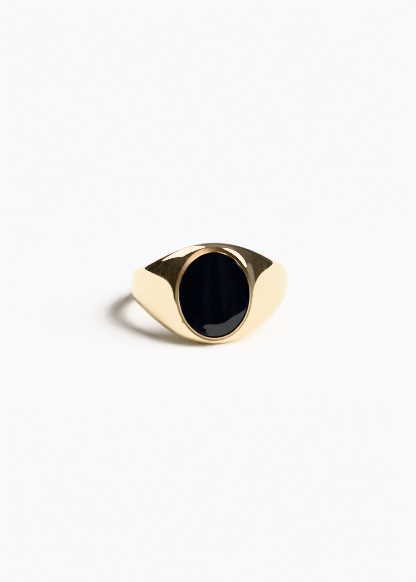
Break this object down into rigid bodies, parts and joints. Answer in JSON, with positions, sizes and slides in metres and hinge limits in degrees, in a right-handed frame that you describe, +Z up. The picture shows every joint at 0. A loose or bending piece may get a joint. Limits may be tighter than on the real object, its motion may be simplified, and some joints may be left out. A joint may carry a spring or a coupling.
{
  "type": "signet ring",
  "caption": "Signet ring: a tapering polished gold band whose head carries an oval low-domed black stone in a raised collar; worn on a finger.",
  "frame": {"origin": "centre of the finger bore, on its axis, midway along the finger", "axes": "+Z up and +X right as the ring lies at rest on its side; the stone's face looks along -Y and 13.66 degrees up, and the finger bore's axis leans 13.66 degrees from +Z towards +Y"},
  "size_m": [0.02, 0.0228, 0.0125],
  "materials": {
    "band_gold": "mirror-polished yellow gold",
    "collar_gold": "burnished yellow gold",
    "ledge_gold": "as-filed yellow gold",
    "cement": "cured setting cement",
    "onyx": "glassy polished black onyx"
  },
  "bodies": {
    "root": {"ring_body": "band_gold", "bezel_collar": "collar_gold", "bearing_ledge": "ledge_gold", "cement_bed": "cement", "onyx_stone": "onyx"}
  },
  "joints": []
}
